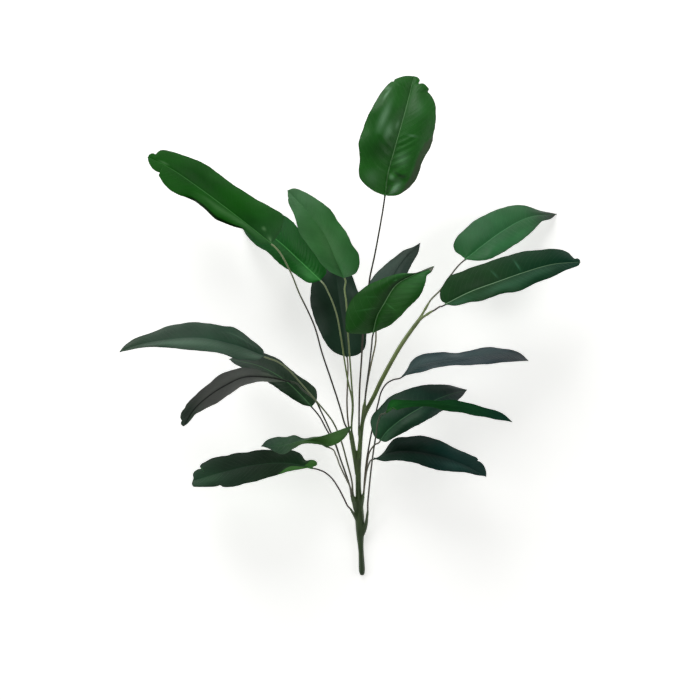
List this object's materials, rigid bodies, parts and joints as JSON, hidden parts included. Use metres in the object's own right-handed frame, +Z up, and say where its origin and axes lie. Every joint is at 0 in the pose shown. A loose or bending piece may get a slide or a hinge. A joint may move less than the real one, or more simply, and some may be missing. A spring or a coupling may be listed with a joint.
{
  "type": "artificial banana plant",
  "caption": "Artificial banana plant laid down: a slim bare stake that branches into thin petioles, each with a long paddle-shaped leaf.",
  "frame": {"origin": "centre of the footprint of the lying plant, on the surface it lies on", "axes": "+Y along the plant from the stake to the top leaf, +X to the right of its front, +Z up, out of its front"},
  "size_m": [0.8237, 0.9001, 0.3198],
  "materials": {
    "leaf_green": "satin moulded leaf, bright green with pale veins",
    "leaf_grey_green": "matt moulded leaf, greyish green with fine veins",
    "leaf_dark_green": "satin moulded leaf, dark bluish green",
    "leaf_underside": "dull underside of a leaf, grey green with a raised midrib",
    "petiole_olive": "satin coated wire stalk, olive to dark brown",
    "stem_green": "satin moulded stem, dark olive green with faint lengthwise streaks"
  },
  "bodies": {
    "root": {"main_stem": "stem_green", "leaf_top": "leaf_green", "leaf_upper_left_long": "leaf_green", "leaf_upper_left_behind": "leaf_green", "leaf_upper_left_front": "leaf_grey_green", "leaf_centre_back": "leaf_dark_green", "leaf_centre_front": "leaf_green", "leaf_centre_behind": "leaf_underside", "leaf_right_upper": "leaf_grey_green", "leaf_right_second": "leaf_green", "leaf_right_middle": "leaf_grey_green", "leaf_right_oval": "leaf_dark_green", "leaf_right_narrow": "leaf_green", "leaf_right_bottom": "leaf_dark_green", "leaf_left_middle": "leaf_grey_green", "leaf_left_behind": "leaf_dark_green", "leaf_left_turned": "leaf_underside", "leaf_left_twisted": "leaf_green", "leaf_left_bottom": "leaf_dark_green", "petiole_top": "petiole_olive", "petiole_upper_left_long": "petiole_olive", "petiole_upper_left_behind": "petiole_olive", "petiole_upper_left_front": "petiole_olive", "petiole_centre_back": "petiole_olive", "petiole_centre_front": "petiole_olive", "petiole_centre_behind": "petiole_olive", "petiole_right_upper": "petiole_olive", "petiole_right_second": "petiole_olive", "petiole_right_middle": "petiole_olive", "petiole_right_oval": "petiole_olive", "petiole_right_narrow": "petiole_olive", "petiole_right_bottom": "petiole_olive", "petiole_left_middle": "petiole_olive", "petiole_left_behind": "petiole_olive", "petiole_left_turned": "petiole_olive", "petiole_left_twisted": "petiole_olive", "petiole_left_bottom": "petiole_olive"}
  },
  "joints": []
}
